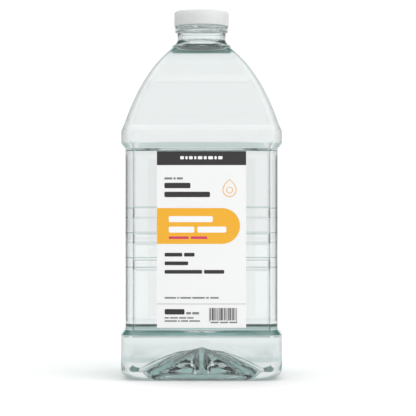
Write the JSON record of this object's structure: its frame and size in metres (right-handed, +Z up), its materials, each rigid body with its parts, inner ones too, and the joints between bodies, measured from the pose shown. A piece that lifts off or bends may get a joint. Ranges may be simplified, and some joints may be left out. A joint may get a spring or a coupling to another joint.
{
  "type": "hand soap refill pack",
  "caption": "Clear rounded-rectangular bottle full of liquid hand soap, with a low white screw cap, sealing liner, and front and back labels; the cap unscrews along its thread.",
  "frame": {"origin": "middle of the footprint, on the surface that the bottle stands on", "axes": "+Z up through the neck and cap; the front label faces -Y; +X to the right seen from the front"},
  "size_m": [0.1164, 0.0902, 0.2658],
  "materials": {
    "clear_bottle": "clear blown plastic, faint blue-green at its edges",
    "liquid_soap": "clear liquid with a faint blue-green cast",
    "white_cap": "satin white moulded plastic",
    "liner": "matt white foamed disc",
    "front_label": "satin white film with printed fields of black and orange",
    "back_label": "satin white film with printed lines"
  },
  "bodies": {
    "bottle": {"bottle": "clear_bottle", "soap_fill": "liquid_soap", "front_label": "front_label", "back_label": "back_label"},
    "liner": {"cap_liner": "liner"},
    "cap": {"cap": "white_cap"}
  },
  "joints": [
    {"name": "cap_lift", "type": "slide", "parent": "bottle", "child": "liner", "axis": [0, 0, 1], "range_m": [0, 0.014]},
    {"name": "cap_turn", "type": "hinge", "parent": "liner", "child": "cap", "pos_m": [0, 0, 0.26], "axis": [0, 0, 1], "range_deg": [0, 1200]}
  ],
  "couplings": [
    {"joint": "cap_turn", "follows": "cap_lift", "rad_per_m": 1484.3}
  ]
}
